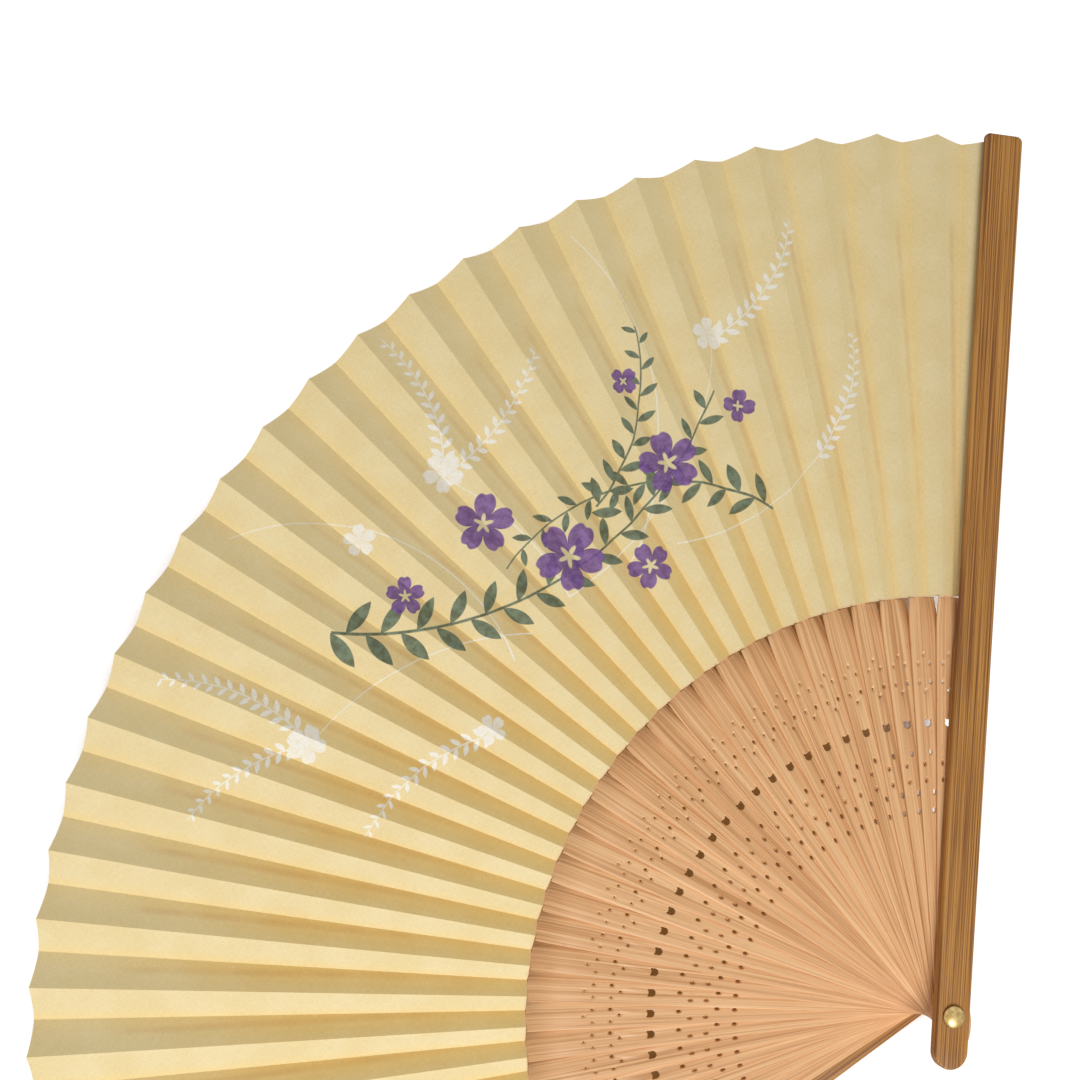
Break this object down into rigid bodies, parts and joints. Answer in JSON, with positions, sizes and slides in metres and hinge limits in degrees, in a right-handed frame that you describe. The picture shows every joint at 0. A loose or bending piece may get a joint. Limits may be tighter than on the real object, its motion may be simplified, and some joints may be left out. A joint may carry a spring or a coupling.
{
  "type": "folding hand fan",
  "caption": "Folding hand fan with pierced bamboo sticks, two guards and a pleated cloth leaf on one rivet; lies open and folds shut to a slim stack.",
  "frame": {"origin": "on the rivet's axis, at the flat outer face of its back head, which is the lowest plane of the fan", "axes": "+Z along the rivet axis, out of the painted face; +X and +Y in the plane of the open fan, with the front guard near +Y and the leaf spreading from it towards -X"},
  "size_m": [0.2184, 0.3095, 0.0261],
  "materials": {
    "stick_bamboo": "pale bamboo with fine lengthwise grain, satin",
    "guard_bamboo": "scorched brown bamboo with lengthwise streaks, satin",
    "leaf_cloth": "pale straw cloth, fine weave, painted with small blossoms",
    "rivet_brass": "plain brass, lightly polished"
  },
  "bodies": {
    "back_guard": {"back_guard": "guard_bamboo", "rivet_pin": "rivet_brass", "rivet_cap": "rivet_brass", "leaf": "leaf_cloth"},
    "stick_30": {"stick_30": "stick_bamboo"},
    "stick_29": {"stick_29": "stick_bamboo"},
    "stick_28": {"stick_28": "stick_bamboo"},
    "stick_27": {"stick_27": "stick_bamboo"},
    "stick_26": {"stick_26": "stick_bamboo"},
    "stick_25": {"stick_25": "stick_bamboo"},
    "stick_24": {"stick_24": "stick_bamboo"},
    "stick_23": {"stick_23": "stick_bamboo"},
    "stick_22": {"stick_22": "stick_bamboo"},
    "stick_21": {"stick_21": "stick_bamboo"},
    "stick_20": {"stick_20": "stick_bamboo"},
    "stick_19": {"stick_19": "stick_bamboo"},
    "stick_18": {"stick_18": "stick_bamboo"},
    "stick_17": {"stick_17": "stick_bamboo"},
    "stick_16": {"stick_16": "stick_bamboo"},
    "stick_15": {"stick_15": "stick_bamboo"},
    "stick_14": {"stick_14": "stick_bamboo"},
    "stick_13": {"stick_13": "stick_bamboo"},
    "stick_12": {"stick_12": "stick_bamboo"},
    "stick_11": {"stick_11": "stick_bamboo"},
    "stick_10": {"stick_10": "stick_bamboo"},
    "stick_09": {"stick_09": "stick_bamboo"},
    "stick_08": {"stick_08": "stick_bamboo"},
    "stick_07": {"stick_07": "stick_bamboo"},
    "stick_06": {"stick_06": "stick_bamboo"},
    "stick_05": {"stick_05": "stick_bamboo"},
    "stick_04": {"stick_04": "stick_bamboo"},
    "stick_03": {"stick_03": "stick_bamboo"},
    "stick_02": {"stick_02": "stick_bamboo"},
    "stick_01": {"stick_01": "stick_bamboo"},
    "front_guard": {"front_guard": "guard_bamboo"}
  },
  "joints": [
    {"name": "fan_spread", "type": "hinge", "parent": "back_guard", "child": "stick_30", "pos_m": [0, 0, 0.0126], "axis": [0, 0, 1], "range_deg": [0, 3.5], "deforming": ["leaf"]},
    {"name": "stick_29_turn", "type": "hinge", "parent": "stick_30", "child": "stick_29", "pos_m": [0, 0, 0.0126], "axis": [0, 0, 1], "range_deg": [0, 4.15]},
    {"name": "stick_28_turn", "type": "hinge", "parent": "stick_29", "child": "stick_28", "pos_m": [0, 0, 0.0126], "axis": [0, 0, 1], "range_deg": [0, 4.15]},
    {"name": "stick_27_turn", "type": "hinge", "parent": "stick_28", "child": "stick_27", "pos_m": [0, 0, 0.0126], "axis": [0, 0, 1], "range_deg": [0, 4.15]},
    {"name": "stick_26_turn", "type": "hinge", "parent": "stick_27", "child": "stick_26", "pos_m": [0, 0, 0.0126], "axis": [0, 0, 1], "range_deg": [0, 4.15]},
    {"name": "stick_25_turn", "type": "hinge", "parent": "stick_26", "child": "stick_25", "pos_m": [0, 0, 0.0126], "axis": [0, 0, 1], "range_deg": [0, 4.15]},
    {"name": "stick_24_turn", "type": "hinge", "parent": "stick_25", "child": "stick_24", "pos_m": [0, 0, 0.0126], "axis": [0, 0, 1], "range_deg": [0, 4.15]},
    {"name": "stick_23_turn", "type": "hinge", "parent": "stick_24", "child": "stick_23", "pos_m": [0, 0, 0.0126], "axis": [0, 0, 1], "range_deg": [0, 4.15]},
    {"name": "stick_22_turn", "type": "hinge", "parent": "stick_23", "child": "stick_22", "pos_m": [0, 0, 0.0126], "axis": [0, 0, 1], "range_deg": [0, 4.15]},
    {"name": "stick_21_turn", "type": "hinge", "parent": "stick_22", "child": "stick_21", "pos_m": [0, 0, 0.0126], "axis": [0, 0, 1], "range_deg": [0, 4.15]},
    {"name": "stick_20_turn", "type": "hinge", "parent": "stick_21", "child": "stick_20", "pos_m": [0, 0, 0.0126], "axis": [0, 0, 1], "range_deg": [0, 4.15]},
    {"name": "stick_19_turn", "type": "hinge", "parent": "stick_20", "child": "stick_19", "pos_m": [0, 0, 0.0126], "axis": [0, 0, 1], "range_deg": [0, 4.15]},
    {"name": "stick_18_turn", "type": "hinge", "parent": "stick_19", "child": "stick_18", "pos_m": [0, 0, 0.0126], "axis": [0, 0, 1], "range_deg": [0, 4.15]},
    {"name": "stick_17_turn", "type": "hinge", "parent": "stick_18", "child": "stick_17", "pos_m": [0, 0, 0.0126], "axis": [0, 0, 1], "range_deg": [0, 4.15]},
    {"name": "stick_16_turn", "type": "hinge", "parent": "stick_17", "child": "stick_16", "pos_m": [0, 0, 0.0126], "axis": [0, 0, 1], "range_deg": [0, 4.15]},
    {"name": "stick_15_turn", "type": "hinge", "parent": "stick_16", "child": "stick_15", "pos_m": [0, 0, 0.0126], "axis": [0, 0, 1], "range_deg": [0, 4.15]},
    {"name": "stick_14_turn", "type": "hinge", "parent": "stick_15", "child": "stick_14", "pos_m": [0, 0, 0.0126], "axis": [0, 0, 1], "range_deg": [0, 4.15]},
    {"name": "stick_13_turn", "type": "hinge", "parent": "stick_14", "child": "stick_13", "pos_m": [0, 0, 0.0126], "axis": [0, 0, 1], "range_deg": [0, 4.15]},
    {"name": "stick_12_turn", "type": "hinge", "parent": "stick_13", "child": "stick_12", "pos_m": [0, 0, 0.0126], "axis": [0, 0, 1], "range_deg": [0, 4.15]},
    {"name": "stick_11_turn", "type": "hinge", "parent": "stick_12", "child": "stick_11", "pos_m": [0, 0, 0.0126], "axis": [0, 0, 1], "range_deg": [0, 4.15]},
    {"name": "stick_10_turn", "type": "hinge", "parent": "stick_11", "child": "stick_10", "pos_m": [0, 0, 0.0126], "axis": [0, 0, 1], "range_deg": [0, 4.15]},
    {"name": "stick_09_turn", "type": "hinge", "parent": "stick_10", "child": "stick_09", "pos_m": [0, 0, 0.0126], "axis": [0, 0, 1], "range_deg": [0, 4.15]},
    {"name": "stick_08_turn", "type": "hinge", "parent": "stick_09", "child": "stick_08", "pos_m": [0, 0, 0.0126], "axis": [0, 0, 1], "range_deg": [0, 4.15]},
    {"name": "stick_07_turn", "type": "hinge", "parent": "stick_08", "child": "stick_07", "pos_m": [0, 0, 0.0126], "axis": [0, 0, 1], "range_deg": [0, 4.15]},
    {"name": "stick_06_turn", "type": "hinge", "parent": "stick_07", "child": "stick_06", "pos_m": [0, 0, 0.0126], "axis": [0, 0, 1], "range_deg": [0, 4.15]},
    {"name": "stick_05_turn", "type": "hinge", "parent": "stick_06", "child": "stick_05", "pos_m": [0, 0, 0.0126], "axis": [0, 0, 1], "range_deg": [0, 4.15]},
    {"name": "stick_04_turn", "type": "hinge", "parent": "stick_05", "child": "stick_04", "pos_m": [0, 0, 0.0126], "axis": [0, 0, 1], "range_deg": [0, 4.15]},
    {"name": "stick_03_turn", "type": "hinge", "parent": "stick_04", "child": "stick_03", "pos_m": [0, 0, 0.0126], "axis": [0, 0, 1], "range_deg": [0, 4.15]},
    {"name": "stick_02_turn", "type": "hinge", "parent": "stick_03", "child": "stick_02", "pos_m": [0, 0, 0.0126], "axis": [0, 0, 1], "range_deg": [0, 4.15]},
    {"name": "stick_01_turn", "type": "hinge", "parent": "stick_02", "child": "stick_01", "pos_m": [0, 0, 0.0126], "axis": [0, 0, 1], "range_deg": [0, 4.15]},
    {"name": "front_guard_turn", "type": "hinge", "parent": "stick_01", "child": "front_guard", "pos_m": [0, 0, 0.0126], "axis": [0, 0, 1], "range_deg": [0, 3.5]}
  ],
  "couplings": [
    {"joint": "stick_29_turn", "follows": "fan_spread", "ratio": 1.1857},
    {"joint": "stick_28_turn", "follows": "fan_spread", "ratio": 1.1857},
    {"joint": "stick_27_turn", "follows": "fan_spread", "ratio": 1.1857},
    {"joint": "stick_26_turn", "follows": "fan_spread", "ratio": 1.1857},
    {"joint": "stick_25_turn", "follows": "fan_spread", "ratio": 1.1857},
    {"joint": "stick_24_turn", "follows": "fan_spread", "ratio": 1.1857},
    {"joint": "stick_23_turn", "follows": "fan_spread", "ratio": 1.1857},
    {"joint": "stick_22_turn", "follows": "fan_spread", "ratio": 1.1857},
    {"joint": "stick_21_turn", "follows": "fan_spread", "ratio": 1.1857},
    {"joint": "stick_20_turn", "follows": "fan_spread", "ratio": 1.1857},
    {"joint": "stick_19_turn", "follows": "fan_spread", "ratio": 1.1857},
    {"joint": "stick_18_turn", "follows": "fan_spread", "ratio": 1.1857},
    {"joint": "stick_17_turn", "follows": "fan_spread", "ratio": 1.1857},
    {"joint": "stick_16_turn", "follows": "fan_spread", "ratio": 1.1857},
    {"joint": "stick_15_turn", "follows": "fan_spread", "ratio": 1.1857},
    {"joint": "stick_14_turn", "follows": "fan_spread", "ratio": 1.1857},
    {"joint": "stick_13_turn", "follows": "fan_spread", "ratio": 1.1857},
    {"joint": "stick_12_turn", "follows": "fan_spread", "ratio": 1.1857},
    {"joint": "stick_11_turn", "follows": "fan_spread", "ratio": 1.1857},
    {"joint": "stick_10_turn", "follows": "fan_spread", "ratio": 1.1857},
    {"joint": "stick_09_turn", "follows": "fan_spread", "ratio": 1.1857},
    {"joint": "stick_08_turn", "follows": "fan_spread", "ratio": 1.1857},
    {"joint": "stick_07_turn", "follows": "fan_spread", "ratio": 1.1857},
    {"joint": "stick_06_turn", "follows": "fan_spread", "ratio": 1.1857},
    {"joint": "stick_05_turn", "follows": "fan_spread", "ratio": 1.1857},
    {"joint": "stick_04_turn", "follows": "fan_spread", "ratio": 1.1857},
    {"joint": "stick_03_turn", "follows": "fan_spread", "ratio": 1.1857},
    {"joint": "stick_02_turn", "follows": "fan_spread", "ratio": 1.1857},
    {"joint": "stick_01_turn", "follows": "fan_spread", "ratio": 1.1857},
    {"joint": "front_guard_turn", "follows": "fan_spread", "ratio": 1}
  ]
}
